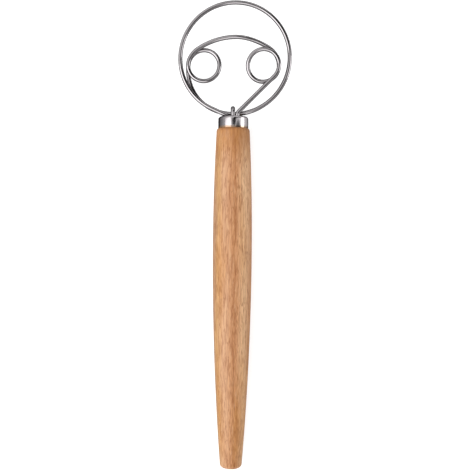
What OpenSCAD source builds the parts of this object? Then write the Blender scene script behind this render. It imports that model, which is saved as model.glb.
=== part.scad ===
// Dough whisk: a turned wooden handle and one steel wire bent into a ring with two eyes.
// It lies on its side on the table, the ring towards +Y and the face of the head towards +Z.
// The origin is on the table, under the middle of the ring's width and of the whole length.

/* [Handle] */
// Length of the turned body, from the butt to the shoulder
handle_l = 246.4; // [215:0.2:280]
// Diameter at the belly, the thickest place
belly_d = 28.4; // [25:0.2:33]
// Distance of the belly from the butt
belly_at = 161; // [140:1:180]
// Diameter at the shoulder, below the ferrule
shoulder_d = 24; // [23.2:0.2:24.8]
// Diameter at the butt, before its edge is rounded
butt_d = 15.6; // [12:0.2:20]
// Rounding of the butt's edge
butt_round = 3; // [1:0.1:4.5]
// Height over which the shoulder rounds off to the ferrule's side
shoulder_round = 2; // [0.8:0.1:3]

/* [Ferrule] */
// Outer diameter of the ferrule
ferrule_d = 21.8; // [21:0.1:23]
// Height of the ferrule above the shoulder
ferrule_h = 8.7; // [6:0.1:10]
// Thickness of the ferrule's sheet
ferrule_wall = 0.6; // [0.4:0.1:0.8]
// Outer rounding of the ferrule's top edge
ferrule_round = 1.9; // [1.2:0.1:2.4]

/* [Wire] */
// Diameter of the wire
wire_d = 3.1; // [2.8:0.05:3.3]
// Gap between strands where one passes behind another
strand_gap = 0.45; // [0.42:0.01:0.6]
// Radius of the two bends into the ferrule, at the middle of the wire
tang_bend_r = 3.5; // [3:0.1:5]
// Length of the tangs inside the handle
tang_l = 30; // [15:0.5:40]
// Distance of the first tang, to the left of the handle's axis
left_tang = 3.75; // [3.5:0.05:4]
// Distance of the second tang, to the right of the handle's axis
right_tang = 3.1; // [3:0.05:4]

/* [Ring] */
// Outer height of the ring, along the whisk
ring_h = 84.3; // [80:0.1:86]
// Outer width of the ring, across the whisk
ring_w = 82.8; // [80:0.2:88]
// Gap between the ferrule's top and the ring
ring_stand = 0.9; // [0.8:0.1:4]
// How far the middle of the ring lies to the right of the handle's axis
ring_offset = 1.1; // [0:0.1:1.6]
// How far the head leans: the rise from the ring's left side to its right side
ring_lean = 1.9; // [0:0.1:2.5]
// Direction from the ring's middle at which its first strand meets the tang's straight run
ring_start = 245; // [242:1:248]
// Direction from the ring's middle at which its last strand turns inward
ring_leave = -109; // [-114:1:-105]

/* [Eyes and arch] */
// Inner diameter of each eye
eye_d = 20; // [17:0.2:21]
// Distance between the middles of the eyes
eye_span = 43.4; // [42:0.2:44.6]
// How far the eyes lie below the middle of the ring
eye_drop = 5.5; // [4.8:0.1:7]
// How far the right eye lies above the left one
eye_tilt = 0.4; // [0:0.1:1]
// How far the arch's top lies above the middle of the ring, at the middle of the wire
arch_rise = 14.9; // [14.4:0.1:16]
// How far the arch's top lies to the right of the handle's axis
arch_offset = 1.3; // [0:0.1:2]
// Radius of the arch's left half, at the middle of the wire
arch_left_r = 51; // [50:0.5:56]
// Radius of the arch's right half, at the middle of the wire
arch_right_r = 45; // [42:0.5:50]
// Radius of the arch's two shoulders, at the middle of the wire
arch_shoulder_r = 16.5; // [14.5:0.5:18]
// Direction from the right eye's middle at which the wire leaves it for the ferrule
eye_leave = -46; // [-48:1:-44]

/* [Staple] */
// Distance of the staple, to the left of the handle's axis
staple_shift = 0.3; // [0:0.05:0.4]
// Height of the staple's bend above its closest fit round the strand
staple_play = 0.6; // [0:0.1:1]
// Length of the staple's legs inside the handle
staple_l = 24; // [12:0.5:35]

/* [Fixing] */
// Thickness of resin round the outermost wire
resin_wall = 0.7; // [0.5:0.1:1]
// Depth of the resin's surface below the ferrule's top
resin_drop = 3.4; // [2.6:0.1:4.5]
// Resin below the ends of the tangs
resin_floor = 3; // [1:0.5:6]

/* [Hidden] */

round_fn = 64;
wire_sides = 16;
wood = [0.78, 0.58, 0.42];
steel = [0.77, 0.77, 0.79];
resin = [0.83, 0.76, 0.56];

// Clearances
spigot_gap = 0.1;
seat_gap = 0.1;
channel_gap = 0.1;
channel_end_gap = 0.15;
mouth_gap = 0.5;

// Numbers of steps along the round stretches of the handle and the ferrule
body_steps = 24;
edge_steps = 6;

// Largest angles between neighbouring rings of the swept wire
ring_step = 5;
eye_step = 9;
arch_step = 4;
bend_step = 12;

// Places along the handle, measured from the butt
ferrule_top = handle_l + ferrule_h;
whisk_l = ferrule_top + ring_stand + ring_h;
spigot_top = ferrule_top - ferrule_wall - seat_gap;
resin_top = ferrule_top - resin_drop;
tang_foot = handle_l - tang_l;
staple_foot = handle_l - staple_l;
bore_foot = min(tang_foot, staple_foot) - resin_floor;

// Frame of the handle's axis
axis_x = -ring_offset;
axis_z = belly_d / 2;
butt_y = -whisk_l / 2;

// The wire's strands lie in two layers, a pitch apart, on either side of the handle's axis
wire_r = wire_d / 2;
pitch = wire_d + strand_gap;
front = pitch / 2;
back = -pitch / 2;
rear_leg = back - pitch;

// Radii round the handle's axis
spigot_r = ferrule_d / 2 - ferrule_wall - spigot_gap;
bore_r = abs(rear_leg) + wire_r + resin_wall;
mouth_r = abs(rear_leg) + wire_r + mouth_gap;

// Turning profile of the handle: two arcs that meet at the belly
function arc_radius(run, drop) = (run * run + drop * drop) / (2 * drop);
function sagitta(r, run) = r - sqrt(r * r - run * run);
tail_arc_r = arc_radius(belly_at, (belly_d - butt_d) / 2);
nose_arc_r = arc_radius(handle_l - belly_at, (belly_d - shoulder_d) / 2);
function body_r(s) = belly_d / 2 - sagitta(s < belly_at ? tail_arc_r : nose_arc_r, s - belly_at);

function polar(r, a) = [r * cos(a), r * sin(a)];
function edge_arc(c, r, a0, a1) =
    [for (i = [0 : edge_steps]) c + polar(r, a0 + (a1 - a0) * i / edge_steps)];

butt_edge_r = body_r(butt_round);
shoulder_foot = handle_l - shoulder_round;
shoulder_drop = body_r(shoulder_foot) - ferrule_d / 2;
spigot_chamfer = 0.4;

handle_outline = concat(
    [[0, 0]],
    edge_arc([butt_edge_r - butt_round, butt_round], butt_round, -90, 0),
    [for (i = [1 : body_steps - 1])
        let (s = butt_round + (shoulder_foot - butt_round) * i / body_steps)
        [body_r(s), s]],
    [for (p = edge_arc([0, 0], 1, 0, 90))
        [ferrule_d / 2 + p[0] * shoulder_drop, shoulder_foot + p[1] * shoulder_round]],
    [
        [spigot_r, handle_l],
        [spigot_r, spigot_top - spigot_chamfer],
        [spigot_r - spigot_chamfer, spigot_top],
        [0, spigot_top]
    ]
);

ferrule_outline = concat(
    [[ferrule_d / 2 - ferrule_wall, handle_l], [ferrule_d / 2, handle_l]],
    edge_arc([ferrule_d / 2 - ferrule_round, ferrule_top - ferrule_round], ferrule_round, 0, 90),
    [[mouth_r, ferrule_top], [mouth_r, ferrule_top - ferrule_wall]],
    edge_arc([ferrule_d / 2 - ferrule_round, ferrule_top - ferrule_round],
        ferrule_round - ferrule_wall, 90, 0)
);

// Centre line of the wire, from one tang to the other, with the ring's middle as origin.
// It is laid out on round arcs, each tangent to the next. The layout is then drawn in
// sideways, by the ratio of the ring's width to its height, and leans up to the right.
squeeze = (ring_w - wire_d) / (ring_h - wire_d);
lean = ring_lean / ring_w;
ring_r = (ring_h - wire_d) / 2;
ring_y = whisk_l / 2 - ring_h / 2;
eye_r = eye_d / 2 + wire_r;

// Place in the layout of a point of the finished head
function laid(x, y) = [x / squeeze, y - lean * x];
left_eye = laid(axis_x - eye_span / 2, -eye_drop - eye_tilt / 2);
right_eye = laid(axis_x + eye_span / 2, -eye_drop + eye_tilt / 2);
arch_top = laid(axis_x + arch_offset, arch_rise);
arch_left_c = arch_top - [0, arch_left_r];
arch_right_c = arch_top - [0, arch_right_r];
start_tang_x = axis_x - left_tang;
end_tang_x = axis_x + right_tang;
tang_end_y = butt_y + tang_foot - ring_y;

function heading(v) = atan2(v[1], v[0]);
function ease(t) = t * t * (3 - 2 * t);

// Points along an arc but for its last; the depth eases from z0 to z1
function arc_run(c, r, a0, a1, z0, z1, step) =
    let (n = ceil(abs(a1 - a0) / step))
    [for (i = [0 : n - 1])
        let (p = c + polar(r, a0 + (a1 - a0) * i / n))
        [p[0], p[1], z0 + (z1 - z0) * ease(i / n)]];

// Distance from the middle of a circle of radius big, in direction a, to the middle of the
// arc that is tangent inside it there and closes round a circle of radius small at middle c
function spiral_reach(big, c, small, a) =
    let (d = big - small)
    (d * d - c * c) / (2 * (d - c * polar(1, a)));

// Middle of the arc of radius r, tangent round the circle (c, small) and inside (big_c, big)
function shoulder_centre(c, small, big_c, big, r, side) =
    let (
        e = big_c - c,
        d = norm(e),
        near = r - small,
        far = big - r,
        x = (near * near - far * far + d * d) / (2 * d),
        h = sqrt(near * near - x * x)
    )
    c + (e * x + side * [-e[1], e[0]] * h) / d;

spiral_u = spiral_reach(ring_r, left_eye, eye_r, ring_leave);
spiral_c = polar(spiral_u, ring_leave);
spiral_r = ring_r - spiral_u;
spiral_end = heading(left_eye - spiral_c);

left_shoulder = shoulder_centre(left_eye, eye_r, arch_left_c, arch_left_r, arch_shoulder_r, 1);
right_shoulder = shoulder_centre(right_eye, eye_r, arch_right_c, arch_right_r, arch_shoulder_r, -1);
left_shoulder_a = [heading(left_eye - left_shoulder), heading(left_shoulder - arch_left_c)];
right_shoulder_a = [heading(right_shoulder - arch_right_c), heading(right_eye - right_shoulder)];

// Directions between which a strand changes layer, clear of the strand that it crosses.
// The arch falls from its top, at 90, where its two arcs meet.
ring_fall = [200, 20];
left_eye_rise = [95, -160];
arch_fall = [90, 62];
right_eye_rise = [-92, -275];

// The first tang bends into a straight run, tangent to the ring
start_dir = polar(1, ring_start - 90);
start_point = polar(ring_r, ring_start);
start_tang = laid(start_tang_x, tang_end_y);
start_corner = start_point - start_dir * (start_point[0] - start_tang[0]) / start_dir[0];
start_turn = heading(start_dir) - 90;
start_trim = tang_bend_r * tan(start_turn / 2);
start_bend = [start_tang[0] - tang_bend_r, start_corner[1] - start_trim];

// The last straight run, tangent to the right eye, bends into the second tang
end_dir = polar(1, eye_leave - 90);
end_point = right_eye + polar(eye_r, eye_leave);
end_tang = laid(end_tang_x, tang_end_y);
end_corner = end_point + end_dir * (end_tang[0] - end_point[0]) / end_dir[0];
end_turn = -90 - heading(end_dir);
end_trim = tang_bend_r * tan(end_turn / 2);
end_bend = [end_tang[0] + tang_bend_r, end_corner[1] - end_trim];

wire_layout = concat(
    [concat(start_tang, front)],
    arc_run(start_bend, tang_bend_r, 0, start_turn, front, front, bend_step),
    [concat(start_bend + polar(tang_bend_r, start_turn), front)],
    arc_run([0, 0], ring_r, ring_start, ring_fall[0], front, front, ring_step),
    arc_run([0, 0], ring_r, ring_fall[0], ring_fall[1], front, back, ring_step),
    arc_run([0, 0], ring_r, ring_fall[1], ring_leave, back, back, ring_step),
    arc_run(spiral_c, spiral_r, ring_leave, spiral_end - 360, back, back, ring_step),
    arc_run(left_eye, eye_r, spiral_end, left_eye_rise[0], back, back, eye_step),
    arc_run(left_eye, eye_r, left_eye_rise[0], left_eye_rise[1], back, front, eye_step),
    arc_run(left_eye, eye_r, left_eye_rise[1], left_shoulder_a[0] - 360, front, front, eye_step),
    arc_run(left_shoulder, arch_shoulder_r, left_shoulder_a[0], left_shoulder_a[1],
        front, front, eye_step),
    arc_run(arch_left_c, arch_left_r, left_shoulder_a[1], arch_fall[0], front, front, arch_step),
    arc_run(arch_right_c, arch_right_r, arch_fall[0], arch_fall[1], front, back, arch_step),
    arc_run(arch_right_c, arch_right_r, arch_fall[1], right_shoulder_a[0], back, back, arch_step),
    arc_run(right_shoulder, arch_shoulder_r, right_shoulder_a[0], right_shoulder_a[1],
        back, back, eye_step),
    arc_run(right_eye, eye_r, right_shoulder_a[1], right_eye_rise[0], back, back, eye_step),
    arc_run(right_eye, eye_r, right_eye_rise[0], right_eye_rise[1], back, front, eye_step),
    arc_run(right_eye, eye_r, right_eye_rise[1], eye_leave - 360, front, front, eye_step),
    [concat(end_point, front)],
    arc_run(end_bend, tang_bend_r, 180 - end_turn, 180, front, front, bend_step),
    [[end_tang[0], end_corner[1] - end_trim, front]],
    [concat(end_tang, front)]
);
wire_path = [for (p = wire_layout)
    [p[0] * squeeze, p[1] + lean * p[0] * squeeze + ring_y, p[2] + axis_z]];

// Rings of points round a path, square to its bisecting direction
function unit(v) = v / norm(v);
function along(path, i) =
    let (last = len(path) - 1)
    i == 0 ? unit(path[1] - path[0])
    : i == last ? unit(path[last] - path[last - 1])
    : unit(unit(path[i] - path[i - 1]) + unit(path[i + 1] - path[i]));
function tube_points(path, r, sides) =
    [for (i = [0 : len(path) - 1])
        let (
            t = along(path, i),
            across = unit(cross(t, [0, 0, 1])),
            up = cross(across, t)
        )
        for (k = [0 : sides - 1])
            path[i] + r * (across * cos(360 * k / sides) + up * sin(360 * k / sides))];
function tube_faces(rings, sides) = concat(
    [for (i = [0 : rings - 2], k = [0 : sides - 1], half = [0, 1])
        let (
            a = i * sides + k,
            b = i * sides + (k + 1) % sides
        )
        half == 0 ? [a, b, b + sides] : [a, b + sides, a + sides]],
    [for (k = [1 : sides - 2]) [0, k + 1, k]],
    [for (k = [1 : sides - 2]) [0, k, k + 1] + (rings - 1) * sides * [1, 1, 1]]
);

// Least gap of the wire to itself, between strands that aren't neighbours along it
function segment_distance(p, a, b) =
    let (t = (p - a) * (b - a) / ((b - a) * (b - a)))
    norm(p - a - (b - a) * min(1, max(0, t)));
function run_lengths(path) =
    [for (i = 0, s = 0; i < len(path); s = s + norm(path[min(i + 1, len(path) - 1)] - path[i]),
        i = i + 1) s];
function least_gap(path, reach) =
    let (s = run_lengths(path))
    min([for (i = [0 : len(path) - 1], j = [0 : len(path) - 2])
        if (s[i] > s[j + 1] + reach || s[i] < s[j] - reach)
            segment_distance(path[i], path[j], path[j + 1])]) - wire_d;

// Puts a shape that is turned about +Z, butt at the origin, on the lying handle's axis
module on_axis() {
    translate([axis_x, butt_y, axis_z])
        rotate([-90, 0, 0])
            children();
}

module handle() {
    color(wood)
        on_axis()
            difference() {
                rotate_extrude($fn = round_fn) polygon(handle_outline);
                translate([0, 0, bore_foot])
                    cylinder(h = spigot_top - bore_foot + 1, r = bore_r, $fn = round_fn);
            }
}

module ferrule() {
    color(steel)
        on_axis()
            rotate_extrude($fn = round_fn)
                polygon(ferrule_outline);
}

module whisk_wire() {
    echo(least_gap_of_wire = least_gap(wire_path, 3 * pitch), rings = len(wire_path));
    color(steel)
        polyhedron(
            points = tube_points(wire_path, wire_r, wire_sides),
            faces = tube_faces(len(wire_path), wire_sides),
            convexity = 8
        );
}

// A U of the same wire over the ring's last strand, its legs beside the tangs
module staple() {
    crown = ring_y - ring_r + staple_play;
    foot = butt_y + staple_foot;
    color(steel)
        translate([axis_x - staple_shift, crown, axis_z + back])
            rotate([0, -90, 0]) {
                rotate_extrude(angle = 180, $fn = round_fn)
                    translate([pitch, 0])
                        circle(r = wire_r, $fn = wire_sides * 2);
                for (side = [-1, 1])
                    translate([side * pitch, 0, 0])
                        rotate([90, 0, 0])
                            cylinder(h = crown - foot, r = wire_r, $fn = wire_sides * 2);
            }
}

module channel(x, depth, foot) {
    translate([x, -depth, foot - channel_end_gap])
        cylinder(h = resin_top - foot + 1, r = wire_r + channel_gap, $fn = wire_sides * 2);
}

module resin_plug() {
    color(resin)
        on_axis()
            difference() {
                translate([0, 0, bore_foot])
                    cylinder(h = resin_top - bore_foot, r = bore_r, $fn = round_fn);
                channel(-left_tang, front, tang_foot);
                channel(right_tang, front, tang_foot);
                channel(-staple_shift, front, staple_foot);
                channel(-staple_shift, rear_leg, staple_foot);
            }
}

handle();
ferrule();
whisk_wire();
staple();
resin_plug();
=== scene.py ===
"""Dough whisk: the looks of a turned wooden handle and one bent steel wire.

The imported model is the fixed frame. The whisk lies along Y, the ring towards +Y, and the
face of the head looks up. All sizes are in metres.
"""

import logging
import math
from collections.abc import Sequence
from dataclasses import dataclass, field
from enum import Enum
from typing import Any, Optional, Union

import bpy
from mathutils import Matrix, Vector


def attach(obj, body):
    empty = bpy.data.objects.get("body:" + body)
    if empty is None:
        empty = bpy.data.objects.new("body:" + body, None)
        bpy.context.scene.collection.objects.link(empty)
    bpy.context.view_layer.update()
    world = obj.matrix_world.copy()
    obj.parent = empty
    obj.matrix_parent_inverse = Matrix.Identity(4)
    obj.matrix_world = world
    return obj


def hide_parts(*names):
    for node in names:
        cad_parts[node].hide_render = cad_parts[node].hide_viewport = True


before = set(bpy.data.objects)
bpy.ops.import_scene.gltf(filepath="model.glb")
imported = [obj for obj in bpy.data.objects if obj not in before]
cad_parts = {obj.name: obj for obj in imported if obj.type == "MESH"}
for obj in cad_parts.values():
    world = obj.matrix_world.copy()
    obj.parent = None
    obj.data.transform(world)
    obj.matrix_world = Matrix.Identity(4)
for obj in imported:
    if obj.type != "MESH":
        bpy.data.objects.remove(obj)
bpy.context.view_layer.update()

BODY = "root"
MM = 0.001
SHARP_EDGE = 35.0  # degrees between two faces from which their edge stays sharp
POLE_R = 1e-7  # below this radius a turned outline meets its axis
WIRE_END_ROUND = 0.15  # share of a wire's radius that its ends are rounded by

Colour = tuple[float, float, float]
Counts = tuple[float, float, float]  # of a pattern's cells per metre, in three directions
Change = tuple[float, float, float, float]  # from a value to a value, and the results at them
Outline = list[tuple[float, float]]
Value = Union["Signal", float, int, Sequence[float]]

BLACK: Colour = (0.0, 0.0, 0.0)
WHITE: Colour = (1.0, 1.0, 1.0)

log = logging.getLogger("dough_whisk")


class Signal:
    """A shader socket that takes part in Python arithmetic; each operator adds a Math node."""

    def __init__(self, graph: "Graph", socket: Optional[bpy.types.NodeSocket]) -> None:
        """Wraps a socket.

        Args:
            graph: The graph that the socket belongs to.
            socket: The output socket, or None for a node that has none.
        """
        self.graph = graph
        self.socket = socket

    def __add__(self, other: Value) -> "Signal":
        """Adds a value."""
        return self.graph.maths("ADD", self, other)

    def __radd__(self, other: Value) -> "Signal":
        """Adds this signal to a value."""
        return self.graph.maths("ADD", other, self)

    def __sub__(self, other: Value) -> "Signal":
        """Takes a value away."""
        return self.graph.maths("SUBTRACT", self, other)

    def __rsub__(self, other: Value) -> "Signal":
        """Takes this signal away from a value."""
        return self.graph.maths("SUBTRACT", other, self)

    def __mul__(self, other: Value) -> "Signal":
        """Multiplies by a value."""
        return self.graph.maths("MULTIPLY", self, other)

    def __rmul__(self, other: Value) -> "Signal":
        """Multiplies a value by this signal."""
        return self.graph.maths("MULTIPLY", other, self)

    def __truediv__(self, other: Value) -> "Signal":
        """Divides by a value."""
        return self.graph.maths("DIVIDE", self, other)

    def __rtruediv__(self, other: Value) -> "Signal":
        """Divides a value by this signal."""
        return self.graph.maths("DIVIDE", other, self)

    def __pow__(self, other: Value) -> "Signal":
        """Raises to a power."""
        return self.graph.maths("POWER", self, other)

    def __rpow__(self, other: Value) -> "Signal":
        """Raises a value to the power of this signal."""
        return self.graph.maths("POWER", other, self)

    def rise(self, low: float, high: float, to_low: float = 0.0, to_high: float = 1.0) -> "Signal":
        """Maps a range smoothly to another and holds it at its ends.

        Args:
            low: The value that becomes to_low.
            high: The value that becomes to_high.
            to_low: The result at low.
            to_high: The result at high.

        Returns:
            The mapped signal.
        """
        return self.graph.node(
            "ShaderNodeMapRange",
            {"interpolation_type": "SMOOTHSTEP"},
            {"Value": self, "From Min": low, "From Max": high, "To Min": to_low, "To Max": to_high},
        )


class Graph:
    """The node tree of one material or of the world."""

    MIX_FACTOR = 0
    MIX_COLOURS = (6, 7)
    MIX_RESULT = 2

    def __init__(self, tree: bpy.types.NodeTree) -> None:
        """Empties a node tree for building.

        Args:
            tree: The tree to fill.
        """
        self.tree = tree
        tree.nodes.clear()

    def node(
        self,
        kind: str,
        settings: Optional[dict[str, Any]] = None,
        inputs: Optional[dict[Union[str, int], Value]] = None,
        output: Union[str, int] = 0,
    ) -> Signal:
        """Adds a node, sets it and links it.

        Args:
            kind: The node's Blender type.
            settings: Properties that are set first; "stops" holds a ramp's (place, colour) pairs.
            inputs: Values or signals for the input sockets, by name or index.
            output: The output socket to return.

        Returns:
            The wanted output.
        """
        node = self.tree.nodes.new(kind)
        for name, value in (settings or {}).items():
            if name == "stops":
                self._set_stops(node.color_ramp, value)
            else:
                setattr(node, name, value)
        for key, value in (inputs or {}).items():
            self._feed(node.inputs[key], value)
        return Signal(self, node.outputs[output] if len(node.outputs) else None)

    def _set_stops(self, ramp: bpy.types.ColorRamp, stops: Sequence[tuple[float, Colour]]) -> None:
        """Gives a ramp its stops.

        Args:
            ramp: The ramp of a ColorRamp node.
            stops: The stops, as (place, colour).
        """
        while len(ramp.elements) < len(stops):
            ramp.elements.new(1.0)
        for element, (place, colour) in zip(ramp.elements, stops):
            element.position = place
            element.color = (*colour, 1.0)

    def _feed(self, socket: bpy.types.NodeSocket, value: Value) -> None:
        """Links a signal to an input, or sets its value.

        Args:
            socket: The input socket.
            value: The signal or the value.
        """
        if isinstance(value, Signal):
            self.tree.links.new(value.socket, socket)
        elif isinstance(value, (int, float)):
            socket.default_value = value
        elif len(value) == 3 and socket.type == "RGBA":
            socket.default_value = (*value, 1.0)
        else:
            socket.default_value = value

    def maths(self, operation: str, *values: Value) -> Signal:
        """Adds a Math node on one or two values."""
        return self.node("ShaderNodeMath", {"operation": operation}, dict(enumerate(values)))

    def vector(self, x: Value, y: Value, z: Value) -> Signal:
        """Joins three values into a vector."""
        return self.node("ShaderNodeCombineXYZ", {}, {"X": x, "Y": y, "Z": z})

    def place(self) -> Signal:
        """Gives the place on a piece, in the frame of the whole whisk."""
        return self.node("ShaderNodeTexCoord", {}, {}, "Object")

    def from_axis(self, axis: Vector) -> Signal:
        """Gives the place on a piece, from a point of the handle's axis."""
        inputs = {0: self.place(), 1: axis}
        return self.node("ShaderNodeVectorMath", {"operation": "SUBTRACT"}, inputs)

    def parts(self, vector: Signal) -> tuple[Signal, Signal, Signal]:
        """Splits a vector into its components.

        Args:
            vector: The vector.

        Returns:
            Its X, Y and Z.
        """
        first = self.node("ShaderNodeSeparateXYZ", {}, {"Vector": vector})
        outputs = first.socket.node.outputs
        return first, Signal(self, outputs[1]), Signal(self, outputs[2])

    def scaled(self, vector: Signal, counts: Counts) -> Signal:
        """Multiplies a vector's components."""
        return self.node("ShaderNodeVectorMath", {"operation": "MULTIPLY"}, {0: vector, 1: counts})

    def noise(
        self, vector: Signal, counts: Counts, detail: float = 2.0, roughness: float = 0.5
    ) -> Signal:
        """Adds a noise.

        Args:
            vector: The place.
            counts: How many of the noise's cells a metre holds in each direction.
            detail: Number of finer layers.
            roughness: Weight of each finer layer.

        Returns:
            The noise, about 0.5.
        """
        scaled = self.scaled(vector, counts)
        inputs = {"Vector": scaled, "Scale": 1.0, "Detail": detail, "Roughness": roughness}
        return self.node("ShaderNodeTexNoise", {}, inputs)

    def mix(self, factor: Value, a: Value, b: Value, blend: str = "MIX") -> Signal:
        """Mixes two colours.

        Args:
            factor: Share of the second colour.
            a: First colour.
            b: Second colour.
            blend: Blender's name of the blend.

        Returns:
            The mixed colour.
        """
        return self.node(
            "ShaderNodeMix",
            {"data_type": "RGBA", "blend_type": blend},
            {self.MIX_FACTOR: factor, self.MIX_COLOURS[0]: a, self.MIX_COLOURS[1]: b},
            self.MIX_RESULT,
        )

    def bump(self, height: Value, distance: float, strength: float) -> Signal:
        """Adds a Bump node for a height."""
        inputs = {"Height": height, "Distance": distance, "Strength": strength}
        return self.node("ShaderNodeBump", {}, inputs)

    def principled(self, inputs: dict[Union[str, int], Value]) -> None:
        """Ends a material in one Principled shader."""
        shader = self.node("ShaderNodeBsdfPrincipled", {}, inputs)
        self.node("ShaderNodeOutputMaterial", {}, {"Surface": shader})


def new_material(name: str) -> tuple[bpy.types.Material, Graph]:
    """Makes an empty node material.

    Args:
        name: The material's name.

    Returns:
        The material and the graph to build it in.
    """
    material = bpy.data.materials.new(name)
    material.use_nodes = True
    return material, Graph(material.node_tree)


def from_screen(red: int, green: int, blue: int) -> Colour:
    """Turns a colour as seen on a screen, 0 to 255, into the shader's linear values.

    Args:
        red: Red, 0 to 255.
        green: Green, 0 to 255.
        blue: Blue, 0 to 255.

    Returns:
        The linear colour.
    """

    def linear(level: int) -> float:
        """Undoes the screen's gamma for one channel."""
        share = level / 255
        return share / 12.92 if share <= 0.04045 else ((share + 0.055) / 1.055) ** 2.4

    return linear(red), linear(green), linear(blue)


@dataclass(frozen=True)
class Pattern:
    """A noise, by how many of its cells a metre holds across the whisk and along it."""

    across: float
    along: float
    detail: float = 2.0
    roughness: float = 0.5

    def noise(self, graph: Graph, place: Signal) -> Signal:
        """Adds the noise."""
        counts = (self.across, self.along, self.across)
        return graph.noise(place, counts, self.detail, self.roughness)


@dataclass(frozen=True)
class WoodFinish:
    """Oiled hardwood with straight grain.

    Broad bands run along it, wavy at their edges. Their colours hold painted light: lighter on the
    right and darker on the left, to even out the light that comes from the left. Over them lie
    warmer places, light and dark streaks, thin veins, fibres and short pores. Towards the shoulder
    the wood is mottled and darker on its right, and darker still at its very edge.
    """

    axis: Vector
    shoulder_y: float
    half_width: float = 15 * MM
    # Grain bands from the handle's left to its right, with painted light: the right-hand stops are
    # painted lighter and the left-hand ones darker, to even out the light from the left.
    bands_and_painted_light: tuple[tuple[float, Colour], ...] = (
        (0.04, from_screen(190, 150, 115)),
        (0.16, from_screen(210, 165, 110)),
        (0.30, from_screen(225, 180, 142)),
        (0.50, from_screen(215, 160, 115)),
        (0.59, from_screen(200, 143, 98)),
        (0.66, from_screen(220, 165, 120)),
        (0.80, from_screen(250, 208, 162)),
        (0.97, from_screen(220, 165, 122)),
    )
    pore_colour: Colour = from_screen(145, 90, 50)
    warm_colour: Colour = from_screen(210, 148, 80)
    pale_colour: Colour = from_screen(226, 182, 140)
    dark_colour: Colour = from_screen(161, 106, 62)
    streak_colour: Colour = (0.52, 0.36, 0.22)
    fibre_colour: Colour = (0.34, 0.15, 0.06)

    # The bands: how far their edges wander and waver, and how they bow with depth.
    wander: Pattern = Pattern(70, 14, 1.0)
    wander_reach: float = 5.0 * MM
    figure: Pattern = Pattern(240, 30, 3.0, 0.6)
    figure_reach: float = 3.4 * MM
    band_bow: float = 6.0
    # Warmer places, streaks and veins; the last two follow a slight bend.
    warmth: Pattern = Pattern(110, 9)
    warm_share: Change = (0.42, 0.7, 0.05, 0.6)
    bend: Pattern = Pattern(150, 120)
    bend_reach: float = 1.6 * MM
    streak: Pattern = Pattern(680, 80, 3.0, 0.65)
    dark_streak: Change = (0.34, 0.5, 0.5, 0.0)
    pale_streak: Change = (0.52, 0.68, 0.0, 0.5)
    vein: Pattern = Pattern(430, 42)
    vein_share: Change = (0.004, 0.03, 0.38, 0.0)
    # Fibres, and pores where the choice allows them.
    fibre: Pattern = Pattern(1500, 60, 3.0, 0.6)
    fibre_share: Change = (0.3, 0.66, 0.42, 0.0)
    fine_fibre: Pattern = Pattern(4200, 190, 2.0, 0.6)
    fine_fibre_share: Change = (0.35, 0.7, 0.22, 0.0)
    pores: Counts = (800, 170, 800)
    pore_edge: Change = (0.16, 0.34, 1.0, 0.0)
    pore_choice: Pattern = Pattern(500, 40, 1.0)
    chosen: Change = (0.5, 0.62, 0.0, 1.0)
    pore_share: float = 0.65
    # The last stretch before the ferrule: mottled, darker on its right, darker still at its edge.
    shoulder_run: float = 30 * MM
    mottle: Pattern = Pattern(260, 120)
    mottle_share: Change = (0.35, 0.65, 0.4, 0.85)
    warm_dark_share: Change = (-6 * MM, 8 * MM, 0.25, 0.5)
    edge_darkening: tuple[float, float] = (3 * MM, 1 * MM)
    edge_darkening_share: float = 0.4
    # The surface: plain roughness and gloss, its relief, and each mark's share in them.
    roughness: float = 0.47
    fibre_rough: float = 0.16
    fine_fibre_rough: float = -0.05
    gloss: float = 0.35
    relief: float = 0.12 * MM
    relief_strength: float = 0.5
    fibre_height: float = 0.5
    fine_fibre_height: float = 0.3
    pore_depth: float = 0.8

    def material(self) -> bpy.types.Material:
        """Builds the wood.

        Returns:
            The material.
        """
        material, graph = new_material("oiled_hardwood")
        local = graph.from_axis(self.axis)
        colour = self._banded(graph, local)
        colour = self._streaked(graph, local, colour)
        colour = self._darkened(graph, local, colour)

        fibre = self.fibre.noise(graph, local)
        fine_fibre = self.fine_fibre.noise(graph, local)
        pore = self._pores(graph, local)
        colour = graph.mix(fibre.rise(*self.fibre_share), colour, self.fibre_colour, "MULTIPLY")
        colour = graph.mix(fine_fibre.rise(*self.fine_fibre_share), colour, self.pore_colour)
        colour = graph.mix(pore * self.pore_share, colour, self.pore_colour)

        rough = self.roughness + self.fibre_rough * fibre + self.fine_fibre_rough * fine_fibre
        height = self.fibre_height * fibre + self.fine_fibre_height * fine_fibre
        height = height - self.pore_depth * pore
        graph.principled(
            {
                "Base Color": colour,
                "Roughness": rough,
                "Specular IOR Level": self.gloss,
                "Normal": graph.bump(height, self.relief, self.relief_strength),
            }
        )
        return material

    def _banded(self, graph: Graph, local: Signal) -> Signal:
        """Lays the broad bands, and the warmer places on them.

        Args:
            graph: The material's graph.
            local: Place on the handle, from its axis.

        Returns:
            The colour.
        """
        wander = self.wander.noise(graph, local) - 0.5
        figure = self.figure.noise(graph, local) - 0.5
        across, _, depth = graph.parts(local)
        layer = across + self.wander_reach * wander + self.figure_reach * figure
        share = (layer + self.band_bow * depth * depth) / (2 * self.half_width) + 0.5
        # The bands' colours hold painted light, lighter on the right and darker on the left.
        colour = graph.node("ShaderNodeValToRGB", {"stops": self.bands_and_painted_light}, {"Fac": share})
        warmth = self.warmth.noise(graph, local).rise(*self.warm_share)
        return graph.mix(warmth, colour, self.warm_colour)

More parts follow.
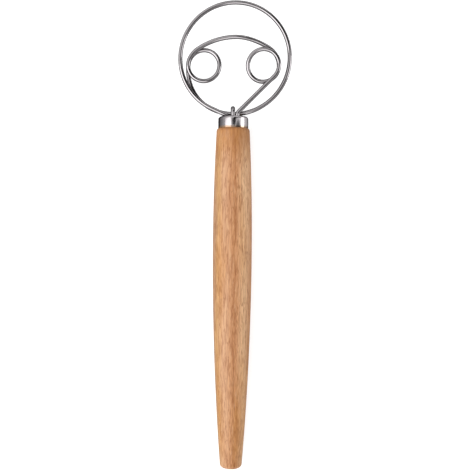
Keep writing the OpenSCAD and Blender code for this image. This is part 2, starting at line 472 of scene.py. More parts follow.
    def _streaked(self, graph: Graph, local: Signal, colour: Signal) -> Signal:
        """Draws dark and pale streaks and thin veins, all a little bent.

        Args:
            graph: The material's graph.
            local: Place on the handle, from its axis.
            colour: The colour so far.

        Returns:
            The colour.
        """
        across, along, depth = graph.parts(local)
        bend = self.bend.noise(graph, local) - 0.5
        bent = graph.vector(across + self.bend_reach * bend, along, depth)
        streak = self.streak.noise(graph, bent)
        dark, pale = streak.rise(*self.dark_streak), streak.rise(*self.pale_streak)
        colour = graph.mix(dark, colour, self.streak_colour, "MULTIPLY")
        colour = graph.mix(pale, colour, self.pale_colour)
        from_ridge = graph.maths("ABSOLUTE", self.vein.noise(graph, bent) - 0.5)
        return graph.mix(from_ridge.rise(*self.vein_share), colour, self.pore_colour)

    def _darkened(self, graph: Graph, local: Signal, colour: Signal) -> Signal:
        """Mottles the wood towards the shoulder, and darkens its right side and its very edge
        there.

        Args:
            graph: The material's graph.
            local: Place on the handle, from its axis.
            colour: The colour so far.

        Returns:
            The colour.
        """
        across, along, _ = graph.parts(local)
        near_shoulder = along.rise(self.shoulder_y - self.shoulder_run, self.shoulder_y)
        mottle = self.mottle.noise(graph, local).rise(*self.mottle_share)
        colour = graph.mix(near_shoulder * mottle, colour, self.warm_colour)
        right_darkening = near_shoulder * across.rise(*self.warm_dark_share)
        colour = graph.mix(right_darkening, colour, self.dark_colour)
        start, end = (self.shoulder_y - distance for distance in self.edge_darkening)
        edge_darkened = along.rise(start, end, 0.0, self.edge_darkening_share)
        return graph.mix(edge_darkened, colour, self.dark_colour)

    def _pores(self, graph: Graph, local: Signal) -> Signal:
        """Adds a mask of short dark dashes along the grain.

        Args:
            graph: The material's graph.
            local: Place on the handle, from its axis.

        Returns:
            The mask, 1 in a pore.
        """
        near = graph.node(
            "ShaderNodeTexVoronoi",
            {"feature": "F1"},
            {"Vector": graph.scaled(local, self.pores), "Scale": 1.0, "Randomness": 1.0},
            "Distance",
        )
        chosen = self.pore_choice.noise(graph, local).rise(*self.chosen)
        return near.rise(*self.pore_edge) * chosen


class Lay(Enum):
    """The way that fine polishing lines run on a steel piece."""

    ALONG_WIRE = "along_wire"
    ROUND_CAP = "round_cap"


@dataclass(frozen=True)
class SteelFinish:
    """Polished stainless steel with fine lines, dull smudges and a darker flank.

    Its darker flanks are painted shade: the wire's sides and the cap's left side. The cap also
    has a painted warm reflection of the wood at its foot, where it meets the wood.
    """

    name: str
    lay: Lay
    axis: Vector
    roughness: float
    foot: float = 0.0
    tint: Colour = (0.41, 0.388, 0.398)
    dull_tint: Colour = (0.35, 0.33, 0.335)
    # Painted shade, laid on the wire's sides and on the cap's left side.
    painted_shade_tint: Colour = (0.15, 0.139, 0.145)
    # Painted warm reflection of the wood, laid on the cap's foot.
    wood_reflection_tint: Colour = (0.33, 0.20, 0.11)
    edge_tint: Colour = (0.05, 0.05, 0.05)
    wire_lines: Counts = (5200, 5200, 60)
    # The wire's sides get painted shade where their normal leans away from straight up.
    wire_painted_shade: Change = (0.48, 0.93, 0.85, 0.0)
    cap_lines: Counts = (4200, 4200, 40)
    # The cap's left side gets painted shade.
    cap_painted_shade: Change = (-11 * MM, 2 * MM, 1.0, 0.0)
    # How far up the cap the painted reflection of the wood reaches, and its share at the foot.
    wood_reflection_edge: tuple[float, float] = (0.5 * MM, 2.2 * MM)
    warm_dark_share: float = 0.85
    smudges: Pattern = Pattern(90, 90, 3.0, 0.6)
    smudge_share: Change = (0.42, 0.7, 0.0, 1.0)
    smudge_tint: float = 0.5
    line_tint: float = 0.2
    smudge_rough: float = 0.07
    line_rough: float = 0.05
    relief: float = 0.01 * MM
    relief_strength: float = 0.25

    def material(self) -> bpy.types.Material:
        """Builds the steel.

        Returns:
            The material.
        """
        material, graph = new_material(self.name)
        marks = self._wire_marks if self.lay is Lay.ALONG_WIRE else self._cap_marks
        lines, painted_shade, wood_reflection = marks(graph)
        dull = self.smudges.noise(graph, graph.place()).rise(*self.smudge_share)
        share = self.smudge_tint * dull + self.line_tint * lines
        colour = graph.mix(share, self.tint, self.dull_tint)
        # Painted shade on the flanks.
        colour = graph.mix(painted_shade, colour, self.painted_shade_tint)
        # Painted warm reflection of the wood at the cap's foot.
        colour = graph.mix(wood_reflection, colour, self.wood_reflection_tint)
        graph.principled(
            {
                "Base Color": colour,
                "Specular Tint": self.edge_tint,
                "Metallic": 1.0,
                "Roughness": self.roughness + self.smudge_rough * dull + self.line_rough * lines,
                "Normal": graph.bump(lines, self.relief, self.relief_strength),
            }
        )
        return material

    def _wire_marks(self, graph: Graph) -> tuple[Signal, Signal, Value]:
        """Finds the marks of a drawn wire, whose flanks look sideways from the whisk's plane.

        Args:
            graph: The material's graph.

        Returns:
            The drawing lines, the share of painted shade, and that of painted reflection, which is
            none.
        """
        section = graph.node("ShaderNodeAttribute", {"attribute_name": "section"}, {}, "Vector")
        # Painted shade on the wire's sides: the more the normal leans from straight up, the darker.
        normal = graph.node("ShaderNodeTexCoord", {}, {}, "Normal")
        facing = graph.maths("ABSOLUTE", graph.parts(normal)[2])
        return graph.noise(section, self.wire_lines), facing.rise(*self.wire_painted_shade), 0.0

    def _cap_marks(self, graph: Graph) -> tuple[Signal, Signal, Value]:
        """Finds the marks of a cap that was polished as it turned.

        Args:
            graph: The material's graph.

        Returns:
            The polishing lines, the share of painted shade on the left and that of painted
            reflection.
        """
        across, along, depth = graph.parts(graph.from_axis(self.axis))
        radius = (across * across + depth * depth) ** 0.5
        lines = graph.noise(graph.vector(radius, along, across), self.cap_lines)
        # Where the painted reflection of the wood fades out above the foot.
        start, end = (self.foot + distance for distance in self.wood_reflection_edge)
        # The left side gets painted shade, and the foot a painted reflection of the wood.
        return lines, across.rise(*self.cap_painted_shade), along.rise(start, end, self.warm_dark_share, 0.0)


@dataclass(frozen=True)
class ResinFinish:
    """Set amber resin: satin, a little cloudy."""

    clear: Colour = (0.52, 0.36, 0.14)
    cloudy: Colour = (0.66, 0.54, 0.32)
    clouds: Pattern = Pattern(400, 400, 3.0)
    cloud_share: Change = (0.35, 0.7, 0.0, 1.0)
    roughness: float = 0.28
    cloud_rough: float = 0.2
    relief: float = 0.15 * MM
    relief_strength: float = 0.4

    def material(self) -> bpy.types.Material:
        """Builds the resin.

        Returns:
            The material.
        """
        material, graph = new_material("set_resin")
        cloud = self.clouds.noise(graph, graph.place())
        graph.principled(
            {
                "Base Color": graph.mix(cloud.rise(*self.cloud_share), self.clear, self.cloudy),
                "Roughness": self.roughness + self.cloud_rough * cloud,
                "Normal": graph.bump(cloud, self.relief, self.relief_strength),
            }
        )
        return material


def polar(radius: float, angle: float) -> Vector:
    """Gives the plane point at a radius and an angle in degrees."""
    return Vector((radius * math.cos(math.radians(angle)), radius * math.sin(math.radians(angle))))


def heading(direction: Vector) -> float:
    """Gives a plane direction's angle in degrees."""
    return math.degrees(math.atan2(direction.y, direction.x))


def ease(share: float) -> float:
    """Starts and ends a change gently."""
    return share * share * (3 - 2 * share)


def edge_arc(
    centre: tuple[float, float], radius: float, start: float, end: float, steps: int = 10
) -> Outline:
    """Rounds an outline's corner.

    Args:
        centre: Middle of the rounding, as (radius, height).
        radius: Radius of the rounding.
        start: First angle in degrees.
        end: Last angle in degrees.
        steps: Number of steps.

    Returns:
        The points from start to end.
    """
    points = [polar(radius, start + (end - start) * i / steps) for i in range(steps + 1)]
    return [(centre[0] + point.x, centre[1] + point.y) for point in points]


def finish_mesh(
    name: str, points: Sequence[Vector], faces: Sequence[Sequence[int]]
) -> bpy.types.Object:
    """Makes a smooth shaded object that keeps its sharp edges.

    Args:
        name: The object's name.
        points: The vertices.
        faces: The faces, as vertex numbers.

    Returns:
        The object, linked to the scene.
    """
    mesh = bpy.data.meshes.new(name)
    mesh.from_pydata([tuple(point) for point in points], [], [tuple(face) for face in faces])
    mesh.validate()
    mesh.update()
    mesh.polygons.foreach_set("use_smooth", [True] * len(mesh.polygons))
    mesh.set_sharp_from_angle(angle=math.radians(SHARP_EDGE))
    piece = bpy.data.objects.new(name, mesh)
    bpy.context.scene.collection.objects.link(piece)
    return piece


def lathe(
    name: str, outline: Outline, origin: Vector, sides: int, closed: bool = False
) -> bpy.types.Object:
    """Turns an outline about the handle's axis, which runs along Y.

    Args:
        name: The object's name.
        outline: Points as (radius, distance along the axis); a radius of 0 is one point.
        origin: The axis's start.
        sides: Number of sides.
        closed: Whether the last point joins the first.

    Returns:
        The object.
    """
    points: list[Vector] = []
    rings: list[list[int]] = []
    for radius, along in outline:
        count = 1 if radius < POLE_R else sides
        rings.append(list(range(len(points), len(points) + count)))
        for k in range(count):
            turn = polar(radius, 360 * k / sides)
            points.append(origin + Vector((turn.x, along, -turn.y)))
    faces: list[tuple[int, ...]] = []
    pairs = list(zip(rings, rings[1:])) + ([(rings[-1], rings[0])] if closed else [])
    for low, high in pairs:
        for k in range(sides):
            corners = [low[k % len(low)], low[(k + 1) % len(low)]]
            corners += [high[(k + 1) % len(high)], high[k % len(high)]]
            face = tuple(dict.fromkeys(corners))
            if len(face) > 2:
                faces.append(face)
    return finish_mesh(name, points, faces)


def sweep(
    name: str, path: Sequence[Vector], radius: float, square_to: Vector, sides: int
) -> bpy.types.Object:
    """Sweeps a round wire along a path, with slightly rounded ends.

    Args:
        name: The object's name.
        path: The wire's centre line.
        radius: The wire's radius.
        square_to: A direction that the path never runs along.
        sides: Number of sides.

    Returns:
        The object, with the attribute "section": the place in the section and along the wire.
    """
    last = len(path) - 1
    steps = [(b - a).normalized() for a, b in zip(path, path[1:])]
    points: list[Vector] = []
    section: list[tuple[float, float, float]] = []
    run = 0.0
    chamfer = WIRE_END_ROUND * radius
    stations: list[tuple[int, float, float]] = [(0, 0.0, radius - chamfer), (0, chamfer, radius)]
    stations += [(i, 0.0, radius) for i in range(1, last)]
    stations += [(last, -chamfer, radius), (last, 0.0, radius - chamfer)]
    for index, shift, reach in stations:
        before, after = steps[max(0, index - 1)], steps[min(index, last - 1)]
        ahead = (before + after).normalized()
        across = ahead.cross(square_to).normalized()
        up = across.cross(ahead)
        centre = path[index] + ahead * shift
        run += (path[index] - path[max(0, index - 1)]).length if index else 0.0
        for k in range(sides):
            turn = polar(reach, 360 * k / sides)
            points.append(centre + across * turn.x + up * turn.y)
            section.append((turn.x, turn.y, run))
    faces: list[tuple[int, ...]] = []
    for low in range(0, len(points) - sides, sides):
        high = low + sides
        for k in range(sides):
            following = (k + 1) % sides
            faces.append((low + k, low + following, high + following, high + k))
    faces.append(tuple(reversed(range(sides))))
    faces.append(tuple(range(len(points) - sides, len(points))))
    piece = finish_mesh(name, points, faces)
    attribute = piece.data.attributes.new("section", "FLOAT_VECTOR", "POINT")
    attribute.data.foreach_set("vector", [value for row in section for value in row])
    return piece


def place_piece(
    piece: bpy.types.Object, material: bpy.types.Material, node: str
) -> None:
    """Dresses a piece and lets it stand for its CAD node.

    Args:
        piece: The piece.
        material: Its finish.
        node: The node that it replaces.
    """
    piece.data.materials.clear()
    piece.data.materials.append(material)
    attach(piece, BODY)
    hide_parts(node)
    log.info("%s: %d vertices, replaces %s", piece.name, len(piece.data.vertices), node)


@dataclass(frozen=True)
class Whisk:
    """The sizes that more than one piece of the whisk shares."""

    handle_l: float = 246.4 * MM
    belly_d: float = 28.4 * MM
    ferrule_d: float = 21.8 * MM
    ferrule_h: float = 8.7 * MM
    ferrule_wall: float = 0.6 * MM
    wire_d: float = 3.1 * MM
    strand_gap: float = 0.45 * MM
    ring_h: float = 84.3 * MM
    ring_w: float = 82.8 * MM
    ring_stand: float = 0.9 * MM
    ring_offset: float = 1.1 * MM
    tang_l: float = 30 * MM
    staple_l: float = 24 * MM
    resin_wall: float = 0.7 * MM
    resin_drop: float = 3.4 * MM
    resin_floor: float = 3 * MM
    mouth_gap: float = 0.5 * MM
    fit_gap: float = 0.1 * MM

    @property
    def ferrule_top(self) -> float:
        """Distance of the ferrule's top from the butt."""
        return self.handle_l + self.ferrule_h

    @property
    def length(self) -> float:
        """Whole length."""
        return self.ferrule_top + self.ring_stand + self.ring_h

    @property
    def butt(self) -> Vector:
        """Middle of the butt's end, where the handle's axis starts."""
        return Vector((-self.ring_offset, -self.length / 2, self.belly_d / 2))

    @property
    def axis(self) -> Vector:
        """Point of the handle's axis that is level with the whisk's middle."""
        return Vector((self.butt.x, 0, self.butt.z))

    @property
    def shoulder_y(self) -> float:
        """Place of the wood's front edge along the whisk, where the ferrule starts."""
        return self.butt.y + self.handle_l

    @property
    def wire_r(self) -> float:
        """Radius of the wire."""
        return self.wire_d / 2

    @property
    def pitch(self) -> float:
        """Distance between the middles of strands that pass each other."""
        return self.wire_d + self.strand_gap

    @property
    def front(self) -> float:
        """Height of the front layer of strands above the handle's axis."""
        return self.pitch / 2

    @property
    def back(self) -> float:
        """Height of the back layer of strands above the handle's axis."""
        return -self.pitch / 2

    @property
    def rear_reach(self) -> float:
        """Distance from the axis to the far side of the staple's rear leg."""
        return self.pitch * 1.5 + self.wire_r

    @property
    def bore_r(self) -> float:
        """Radius of the bore in the handle."""
        return self.rear_reach + self.resin_wall

    @property
    def mouth_r(self) -> float:
        """Radius of the ferrule's mouth."""
        return self.rear_reach + self.mouth_gap

    @property
    def bore_foot(self) -> float:
        """Distance of the bore's end from the butt."""
        return self.handle_l - max(self.tang_l, self.staple_l) - self.resin_floor

    @property
    def resin_top(self) -> float:
        """Distance of the resin's surface from the butt."""
        return self.ferrule_top - self.resin_drop


@dataclass
class Handle:
    """The turned handle, with its spigot and its bore."""

    whisk: Whisk
    belly_at: float = 161 * MM
    shoulder_d: float = 24 * MM
    butt_d: float = 15.6 * MM
    butt_round: float = 3 * MM
    shoulder_round: float = 2 * MM
    spigot_chamfer: float = 0.4 * MM
    body_steps: int = 120
    butt_steps: int = 14
    sides: int = 192

    def body_r(self, along: float) -> float:
        """Gives the radius on the two arcs that meet at the belly.

        Args:
            along: Distance from the butt.

        Returns:
            The radius there.
        """
        toward_butt = along < self.belly_at
        run = self.belly_at if toward_butt else self.whisk.handle_l - self.belly_at
        drop = (self.whisk.belly_d - (self.butt_d if toward_butt else self.shoulder_d)) / 2
        arc_r = (run * run + drop * drop) / (2 * drop)
        away = along - self.belly_at
        return self.whisk.belly_d / 2 - (arc_r - math.sqrt(arc_r * arc_r - away * away))

    def outline(self) -> Outline:
        """Gives the turning profile from the butt's middle round to the bore's end.

        Returns:
            The profile, as (radius, distance from the butt).
        """
        sizes = self.whisk
        low, high = self.butt_round, sizes.handle_l - self.shoulder_round
        butt_edge, ferrule_r = self.body_r(low), sizes.ferrule_d / 2
        drop = self.body_r(high) - ferrule_r
        quarter = edge_arc((0, 0), 1, 0, 90)
        shoulder = [(ferrule_r + x * drop, high + y * self.shoulder_round) for x, y in quarter]
        body = [low + (high - low) * i / self.body_steps for i in range(1, self.body_steps)]
        spigot_r = ferrule_r - sizes.ferrule_wall - sizes.fit_gap
        spigot_top = sizes.ferrule_top - sizes.ferrule_wall - sizes.fit_gap
        return [
            (0.0, 0.0),
            *edge_arc((butt_edge - low, low), low, -90, 0, self.butt_steps),
            *((self.body_r(along), along) for along in body),
            *shoulder,
            (spigot_r, sizes.handle_l),
            (spigot_r, spigot_top - self.spigot_chamfer),
            (spigot_r - self.spigot_chamfer, spigot_top),
            (sizes.bore_r, spigot_top),
            (sizes.bore_r, sizes.bore_foot),
            (0.0, sizes.bore_foot),
        ]

    def build(self) -> bpy.types.Object:
        """Builds and dresses the handle.

        Returns:
            The handle.
        """
        piece = lathe("turned_handle", self.outline(), self.whisk.butt, self.sides)
        finish = WoodFinish(self.whisk.axis, self.whisk.shoulder_y)
        place_piece(piece, finish.material(), "handle")
        return piece


@dataclass
class Ferrule:
    """The drawn steel cap on the handle's spigot."""

    whisk: Whisk
    edge_round: float = 1.9 * MM
    lip: float = 0.2 * MM
    inner_lift: float = 0.02 * MM
    edge_steps: int = 16
    inner_steps: int = 12
    lip_steps: int = 4
    sides: int = 160

    def outline(self) -> Outline:
        """Gives the cap's section: out, up and over the edge, and back inside.

        Returns:
            The closed section, as (radius, distance from the butt).
        """
        sizes = self.whisk
        outer, wall, top = sizes.ferrule_d / 2, sizes.ferrule_wall, sizes.ferrule_top
        shoulder = (outer - self.edge_round, top - self.edge_round)
        foot, mouth = sizes.handle_l, sizes.mouth_r
        lip, steps = self.lip, self.lip_steps
        return [
            (outer - wall, foot + self.inner_lift),
            (outer - lip, foot),
            *edge_arc((outer - lip, foot + lip), lip, -90, 0, steps),
            *edge_arc(shoulder, self.edge_round, 0, 90, self.edge_steps),
            *edge_arc((mouth + lip, top - lip), lip, 90, 180, steps),
            *edge_arc((mouth + lip, top - wall + lip), lip, 180, 270, steps),
            *edge_arc(shoulder, self.edge_round - wall, 90, 0, self.inner_steps),
        ]

    def build(self) -> bpy.types.Object:
        """Builds and dresses the ferrule.

        Returns:
            The ferrule.
        """
        piece = lathe("ferrule_cap", self.outline(), self.whisk.butt, self.sides, closed=True)
        finish = SteelFinish(
            "satin_cap_steel",
            Lay.ROUND_CAP,
            self.whisk.axis,
            roughness=0.10,
            foot=self.whisk.shoulder_y,
            tint=(0.62, 0.585, 0.60),
            dull_tint=(0.52, 0.485, 0.49),
        )
        place_piece(piece, finish.material(), "ferrule")
        return piece


@dataclass
class WireHead:
    """The one wire that makes the ring, the eyes and the arch, and the staple that ties it.

    The centre line is laid out on round arcs, each tangent to the next, with the middle of the
    ring as origin. The layout is then drawn in sideways to the ring's width, and leans.
    Directions and steps of turn are in degrees; pairs of directions are where a change of
    height starts and where it ends.
    """

    whisk: Whisk
    tang_bend_r: float = 3.5 * MM
    left_tang: float = 3.75 * MM
    right_tang: float = 3.1 * MM
    ring_lean: float = 1.9 * MM
    ring_start: float = 245.0
    ring_leave: float = -109.0
    eye_d: float = 20 * MM
    eye_span: float = 43.4 * MM
    eye_drop: float = 5.5 * MM
    eye_tilt: float = 0.4 * MM
    arch_rise: float = 14.9 * MM
    arch_offset: float = 1.3 * MM
    arch_left_r: float = 51 * MM
    arch_right_r: float = 45 * MM
    arch_shoulder_r: float = 16.5 * MM
    eye_leave: float = -46.0
    ring_fall: tuple[float, float] = (200.0, 20.0)
    left_eye_rise: tuple[float, float] = (95.0, -160.0)
    arch_fall: tuple[float, float] = (90.0, 62.0)
    right_eye_rise: tuple[float, float] = (-92.0, -275.0)
    staple_shift: float = 0.3 * MM
    staple_play: float = 0.6 * MM
    bend_step: float = 6.0
    ring_step: float = 2.0
    inward_step: float = 2.5
    eye_step: float = 4.0
    shoulder_step: float = 3.0
    arch_step: float = 2.0
    staple_steps: int = 40
    sides: int = 28
    layout: list[Vector] = field(default_factory=list)

    @property
    def squeeze(self) -> float:
        """Ratio of the ring's width to its height, at the middle of the wire."""
        sizes = self.whisk
        return (sizes.ring_w - sizes.wire_d) / (sizes.ring_h - sizes.wire_d)

    @property
    def lean(self) -> float:
        """Rise of the head for each step to the right."""
        return self.ring_lean / self.whisk.ring_w

    @property
    def ring_r(self) -> float:
        """Radius of the ring before it is drawn in, at the middle of the wire."""
        return (self.whisk.ring_h - self.whisk.wire_d) / 2

    @property
    def eye_r(self) -> float:
        """Radius of the eyes, at the middle of the wire."""
        return self.eye_d / 2 + self.whisk.wire_r

    @property
    def ring_y(self) -> float:
        """Place of the ring's middle along the whisk."""
        return self.whisk.length / 2 - self.whisk.ring_h / 2

    def laid(self, x: float, y: float) -> Vector:
        """Finds the layout's point for a point of the head, both from the ring's middle.

        Args:
            x: Place across the whisk, from the handle's axis.
            y: Place along the whisk, from the ring's middle.

        Returns:
            The point in the layout.
        """
        across = self.whisk.butt.x + x
        return Vector((across / self.squeeze, y - self.lean * across))

    def point(self, place: Vector, height: float) -> None:
        """Adds a point to the layout."""
        self.layout.append(Vector((place.x, place.y, height)))

    def arc(
        self,
        centre: Vector,
        radius: float,
        turn: tuple[float, float],
        heights: tuple[float, float],
        step: float,
    ) -> None:
        """Adds an arc to the layout, but for its last point.

        Args:
            centre: The arc's middle.
            radius: The arc's radius.
            turn: First and last angle in degrees.
            heights: First and last height of the strand; the change between them is eased.
            step: Largest angle between neighbouring points.
        """
        swing, climb = turn[1] - turn[0], heights[1] - heights[0]
        count = math.ceil(abs(swing) / step)
        for i in range(count):
            share = i / count
            place = centre + polar(radius, turn[0] + swing * share)
            self.point(place, heights[0] + climb * ease(share))

    def crossing_arc(
        self,
        centre: Vector,
        radius: float,
        turn: tuple[float, float, float, float],
        heights: tuple[float, float],
        step: float,
    ) -> None:
        """Adds an arc that changes its height only between its second and third direction.

        Args:
            centre: The arc's middle.
            radius: The arc's radius.
            turn: The four directions in degrees.
            heights: First and last height of the strand.
            step: Largest angle between neighbouring points.
        """
        first, last = heights
        levels = ((first, first), (first, last), (last, last))
        for stretch, level in zip(zip(turn, turn[1:]), levels):
            self.arc(centre, radius, stretch, level, step)

    def shoulder(
        self, eye: Vector, arch: Vector, arch_r: float, side: int
    ) -> tuple[Vector, float, float]:
        """Finds the arc that joins an eye to the arch.

        Args:
            eye: Middle of the eye.
            arch: Middle of the arch's arc.
            arch_r: Radius of the arch's arc.
            side: 1 for the left shoulder, -1 for the right one.

        Returns:
            The middle of the shoulder's arc, and its directions at the eye and at the arch.
        """
        between = arch - eye
        span = between.length
        near = self.arch_shoulder_r - self.eye_r
        far = arch_r - self.arch_shoulder_r
        along = (near * near - far * far + span * span) / (2 * span)
        off = side * math.sqrt(near * near - along * along)
        middle = eye + (between * along + Vector((-between.y, between.x)) * off) / span
        return middle, heading(eye - middle), heading(middle - arch)

    def tang_bend(
        self, foot: Vector, passed: Vector, upward: Vector, side: int
    ) -> tuple[Vector, float]:
        """Finds the bend between a tang and the straight run above it.

        Args:
            foot: The tang's end.
            passed: A point of the straight run.
            upward: Direction of the straight run, away from the handle.
            side: 1 where the wire bends to the right, -1 to the left.

        Returns:
            The bend's middle, and its turn in degrees.
        """
        turn = abs(heading(upward) - 90)
        corner = passed.y + upward.y * (foot.x - passed.x) / upward.x
        drop = self.tang_bend_r * math.tan(math.radians(turn / 2))
        return Vector((foot.x + side * self.tang_bend_r, corner - drop)), turn

    def lay_ring(self, foot_y: float, left_eye: Vector) -> float:
        """Lays out the first tang, its straight run and the ring up to the left eye.

        Args:
            foot_y: Place of the tang's end along the whisk, from the ring's middle.
            left_eye: Middle of the left eye.

        Returns:
            The direction at which the wire reaches the left eye.
        """
        front, back = self.whisk.front, self.whisk.back
        foot = self.laid(-self.left_tang, foot_y)
        upward = polar(1, self.ring_start - 90)
        bend, turn = self.tang_bend(foot, polar(self.ring_r, self.ring_start), upward, -1)
        self.point(foot, front)
        self.arc(bend, self.tang_bend_r, (0, turn), (front, front), self.bend_step)
        self.point(bend + polar(self.tang_bend_r, turn), front)

        middle = Vector((0.0, 0.0))
        swing = (self.ring_start, *self.ring_fall, self.ring_leave)
        self.crossing_arc(middle, self.ring_r, swing, (front, back), self.ring_step)

        leave = polar(1, self.ring_leave)
        slack = self.ring_r - self.eye_r
        reach = (slack * slack - left_eye.dot(left_eye)) / (2 * (slack - left_eye.dot(leave)))
        met = heading(left_eye - leave * reach)
        inward = (self.ring_leave, met - 360)
        self.arc(leave * reach, self.ring_r - reach, inward, (back, back), self.inward_step)
        return met

    def lay_eyes(self, left_eye: Vector, right_eye: Vector, met: float) -> None:
        """Lays out the left eye, the arch and the right eye.

        Args:
            left_eye: Middle of the left eye.
            right_eye: Middle of the right eye.
            met: The direction at which the wire reaches the left eye.
        """
        front, back = self.whisk.front, self.whisk.back
        left_r, right_r = self.arch_left_r, self.arch_right_r
        top = self.laid(self.arch_offset, self.arch_rise)
        left_arch, right_arch = top - Vector((0.0, left_r)), top - Vector((0.0, right_r))
        left, at_left, on_left = self.shoulder(left_eye, left_arch, left_r, 1)
        right, at_right, on_right = self.shoulder(right_eye, right_arch, right_r, -1)
        fall, low = self.arch_fall

        swing = (met, *self.left_eye_rise, at_left - 360)
        self.crossing_arc(left_eye, self.eye_r, swing, (back, front), self.eye_step)
        shoulders = self.arch_shoulder_r, self.shoulder_step
        stages = (
            (left, shoulders, (at_left, on_left), (front, front)),
            (left_arch, (left_r, self.arch_step), (on_left, fall), (front, front)),
            (right_arch, (right_r, self.arch_step), (fall, low), (front, back)),
            (right_arch, (right_r, self.arch_step), (low, on_right), (back, back)),
            (right, shoulders, (on_right, at_right), (back, back)),
        )
        for middle, (radius, step), stretch, heights in stages:
            self.arc(middle, radius, stretch, heights, step)
        swing = (at_right, *self.right_eye_rise, self.eye_leave - 360)
        self.crossing_arc(right_eye, self.eye_r, swing, (back, front), self.eye_step)

    def lay_last_run(self, foot_y: float, right_eye: Vector) -> None:
        """Lays out the straight run from the right eye and the second tang.

        Args:
            foot_y: Place of the tang's end along the whisk, from the ring's middle.
            right_eye: Middle of the right eye.
        """
        front = self.whisk.front
        foot = self.laid(self.right_tang, foot_y)
        left_behind = right_eye + polar(self.eye_r, self.eye_leave)
        bend, turn = self.tang_bend(foot, left_behind, polar(1, self.eye_leave + 90), 1)
        self.point(left_behind, front)
        self.arc(bend, self.tang_bend_r, (180 - turn, 180), (front, front), self.bend_step)
        self.point(bend - Vector((self.tang_bend_r, 0.0)), front)
        self.point(foot, front)

    def wire_path(self) -> list[Vector]:
        """Lays out the wire from its first tang to its second.

        Returns:
            The centre line in the frame of the whole whisk.
        """
        sizes = self.whisk
        foot_y = sizes.shoulder_y - sizes.tang_l - self.ring_y
        left_eye = self.laid(-self.eye_span / 2, -self.eye_drop - self.eye_tilt / 2)
        right_eye = self.laid(self.eye_span / 2, -self.eye_drop + self.eye_tilt / 2)
        self.layout = []
        met = self.lay_ring(foot_y, left_eye)
        self.lay_eyes(left_eye, right_eye, met)
        self.lay_last_run(foot_y, right_eye)
        path = []
        for place in self.layout:
            x = place.x * self.squeeze
            y = place.y + self.lean * x + self.ring_y
            path.append(Vector((x, y, place.z + sizes.butt.z)))
        return path

    def staple_path(self) -> list[Vector]:
        """Lays out the staple over the ring's last strand.

        Returns:
            The centre line, from the front leg's foot to the rear leg's foot.
        """
        sizes = self.whisk
        x = sizes.butt.x - self.staple_shift
        crown = self.ring_y - self.ring_r + self.staple_play
        foot = sizes.shoulder_y - sizes.staple_l
        middle_z = sizes.butt.z + sizes.back
        steps = self.staple_steps
        bend = [polar(sizes.pitch, 180 * i / steps) for i in range(steps + 1)]
        over = [Vector((x, crown + place.y, middle_z + place.x)) for place in bend]
        front_foot = Vector((x, foot, middle_z + sizes.pitch))
        rear_foot = Vector((x, foot, middle_z - sizes.pitch))
        return [front_foot, *over, rear_foot]

    def build(self) -> list[bpy.types.Object]:
        """Builds and dresses the wire and the staple.

        Returns:
            The wire and the staple.
        """
        finish = SteelFinish("polished_wire_steel", Lay.ALONG_WIRE, self.whisk.axis, 0.05)
        material, radius = finish.material(), self.whisk.wire_r
        upward, sideways = Vector((0, 0, 1)), Vector((1, 0, 0))
        wire = sweep("bent_whisk_wire", self.wire_path(), radius, upward, self.sides)
        place_piece(wire, material, "whisk_wire")
        staple = sweep("wire_staple", self.staple_path(), radius, sideways, self.sides)
        place_piece(staple, material, "staple")
        return [wire, staple]


@dataclass
class ResinPlug:
    """The resin in the handle's bore, which keeps its CAD shape."""

    node: str = "resin_plug"

    def build(self) -> bpy.types.Object:
        """Dresses the plug.

        Returns:
            The plug.
        """
        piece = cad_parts[self.node]
        material = ResinFinish().material()
        for place in piece.material_slots:
            place.material = material
        log.info("%s keeps its CAD shape", piece.name)
        return piece


@dataclass(frozen=True)
class Patch:
    """A round part of the room that is lighter or darker than the rest, as seen from the whisk.

    It is whole up to inner degrees from its middle, and gone at outer degrees.
    """

    azimuth: float
    tilt: float
    inner: float
    outer: float
    level: float

    def toward(self) -> Vector:
        """Finds the patch's middle, by its azimuth and by its tilt from straight up.

        Returns:
            The direction.
        """
        tilt, azimuth = math.radians(self.tilt), math.radians(self.azimuth)
        flat = math.sin(tilt)
        return Vector((flat * math.cos(azimuth), flat * math.sin(azimuth), math.cos(tilt)))


@dataclass(frozen=True)
class Softbox:
    """A rectangular lamp that faces the whisk.

    Its distance and tilt are taken from the handle's axis, and its length runs along the whisk,
    but for its turn. Its brightness is that of its face, where 1 is white.
    """

    name: str
    tilt: float
    distance: float
    width: float
    length: float
    place_y: float
    brightness: float
    turn: float = 0.0

    def build(self, axis: Vector) -> bpy.types.Object:
        """Builds the lamp.

        Args:
            axis: A point of the handle's axis.

        Returns:
            The lamp.
        """
        data = bpy.data.lights.new(self.name, "AREA")
        data.shape = "RECTANGLE"
        data.size, data.size_y = self.width, self.length
        data.energy = self.brightness * math.pi * self.width * self.length
        light = bpy.data.objects.new(self.name, data)
        lean = math.radians(self.tilt)
        reach = Vector((math.sin(lean), 0, math.cos(lean))) * self.distance
        light.location = Vector((axis.x, self.place_y, axis.z)) + reach
        light.rotation_euler = (0, lean, math.radians(self.turn))
        light.visible_camera = False
        bpy.context.scene.collection.objects.link(light)
        log.info("%s at %s", self.name, tuple(round(value, 3) for value in light.location))
        return light


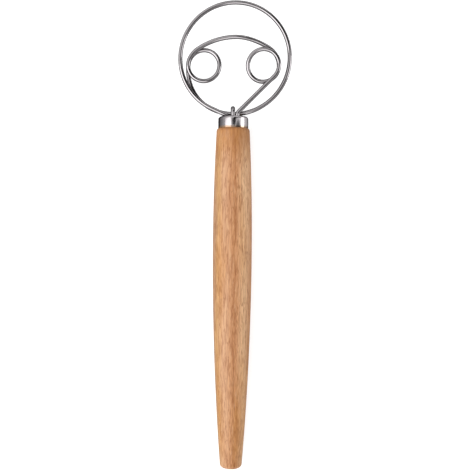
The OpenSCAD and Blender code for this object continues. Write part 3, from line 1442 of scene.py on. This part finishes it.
@dataclass
class Studio:
    """Floor, light and camera."""

    whisk: Whisk
    camera_distance: float = 0.600
    view_width: float = 0.3424
    sensor_width: float = 36.0
    aim: tuple[float, float] = (0.79 * MM, -0.97 * MM)
    roll: float = 0.42
    floor_size: float = 6.0
    floor_colour: Colour = (0.55, 0.55, 0.55)
    lift: float = 0.72
    mirrored_lift: float = 0.25
    room_level: float = 1.05
    backdrop_top: float = 8.0
    backdrop_fade: float = 0.8
    patches: tuple[Patch, ...] = (
        Patch(120, 7, 5, 9, 0.0),
        Patch(60, 7, 5, 9, 0.0),
        Patch(90, 70, 6, 18, 0.1),
        Patch(39, 13, 9, 12, 0.0),
        Patch(52, 36, 15, 20, 0.0),
        Patch(40, 62, 16, 20, 0.0),
        Patch(-20, 40, 15, 26, 0.15),
        Patch(-50, 44, 13, 19, 0.15),
        Patch(10, 70, 13, 17, 0.9),
        Patch(-100, 45, 20, 28, 1.8),
    )
    softboxes: tuple[Softbox, ...] = (
        Softbox("left_softbox", -39.5, 0.62, 0.515, 0.52, -0.03, brightness=1.88, turn=12),
        Softbox("right_strip", 76, 0.60, 0.28, 0.24, 0.15, brightness=3.0),
    )

    def build(self) -> None:
        """Builds the camera, the floor, the room and the lamps."""
        self.build_camera()
        self.build_floor()
        self.build_world()
        for softbox in self.softboxes:
            softbox.build(self.whisk.butt)
        bpy.context.scene.view_settings.view_transform = "Standard"

    def build_camera(self) -> None:
        """Looks straight down on the whisk, as the photograph does."""
        data = bpy.data.cameras.new("camera")
        data.sensor_width = self.sensor_width
        data.lens = data.sensor_width / 2 / (self.view_width / 2 / self.camera_distance)
        camera = bpy.data.objects.new("camera", data)
        camera.location = (*self.aim, self.whisk.belly_d / 2 + self.camera_distance)
        camera.rotation_euler = (0, 0, math.radians(self.roll))
        bpy.context.scene.collection.objects.link(camera)
        bpy.context.scene.camera = camera

    def background_rays(self, graph: Graph) -> tuple[Signal, Signal]:
        """Finds the rays that have to meet a white background.

        Args:
            graph: The graph of the floor or of the world.

        Returns:
            A mask of the camera's rays, and one of the rays that metal or glass sends on.
        """
        camera = graph.node("ShaderNodeLightPath", {}, {}, "Is Camera Ray")
        outputs = camera.socket.node.outputs
        glossy = Signal(graph, outputs["Is Glossy Ray"])
        return camera, graph.maths("MAXIMUM", glossy, Signal(graph, outputs["Is Transmission Ray"]))

    def build_floor(self) -> None:
        """Lays a pale floor that reads as white and keeps the whisk's shadow."""
        half = self.floor_size / 2
        corners = [Vector((x, y, 0)) for x, y in ((-half, -half), (half, -half), (half, half))]
        floor = finish_mesh("floor", [*corners, Vector((-half, half, 0))], [(0, 1, 2, 3)])
        material, graph = new_material("pale_floor")
        plain = graph.node("ShaderNodeBsdfDiffuse", {}, {"Color": self.floor_colour})
        seen, mirrored = self.background_rays(graph)
        share = graph.maths("MAXIMUM", seen, mirrored * self.mirrored_lift)
        glow = graph.mix(share, BLACK, WHITE)
        lift = graph.node("ShaderNodeEmission", {}, {"Color": glow, "Strength": self.lift})
        both = graph.node("ShaderNodeAddShader", {}, {0: plain, 1: lift})
        graph.node("ShaderNodeOutputMaterial", {}, {"Surface": both})
        floor.data.materials.append(material)

    def build_world(self) -> None:
        """Surrounds the set with a dim, even room; white to the camera and low behind metal."""
        world = bpy.data.worlds.new("studio")
        world.use_nodes = True
        bpy.context.scene.world = world
        graph = Graph(world.node_tree)
        direction = graph.node("ShaderNodeTexCoord", {}, {}, "Generated")
        level: Value = self.room_level
        for patch in self.patches:
            inputs = {0: direction, 1: patch.toward()}
            settings = {"operation": "DOT_PRODUCT"}
            facing = graph.node("ShaderNodeVectorMath", settings, inputs, "Value")
            edge = (math.cos(math.radians(angle)) for angle in (patch.outer, patch.inner))
            mask = facing.rise(*edge)
            level = mask * patch.level + (1 - mask) * level
        seen, mirrored = self.background_rays(graph)
        height = graph.parts(direction)[2]
        top = math.sin(math.radians(self.backdrop_top))
        low = height.rise(self.backdrop_fade * top, top, 1.0, 0.0)
        white = graph.maths("MAXIMUM", seen, mirrored * low)
        shade = graph.mix(white, graph.vector(level, level, level), WHITE)
        back = graph.node("ShaderNodeBackground", {}, {"Color": shade, "Strength": 1.0})
        graph.node("ShaderNodeOutputWorld", {}, {"Surface": back})


def main() -> None:
    """Builds the whisk and its studio, and reports each piece."""
    logging.basicConfig(level=logging.INFO, format="%(name)s: %(message)s")
    whisk = Whisk()
    Studio(whisk).build()
    Handle(whisk).build()
    Ferrule(whisk).build()
    WireHead(whisk).build()
    ResinPlug().build()


if __name__ == "__main__":
    main()
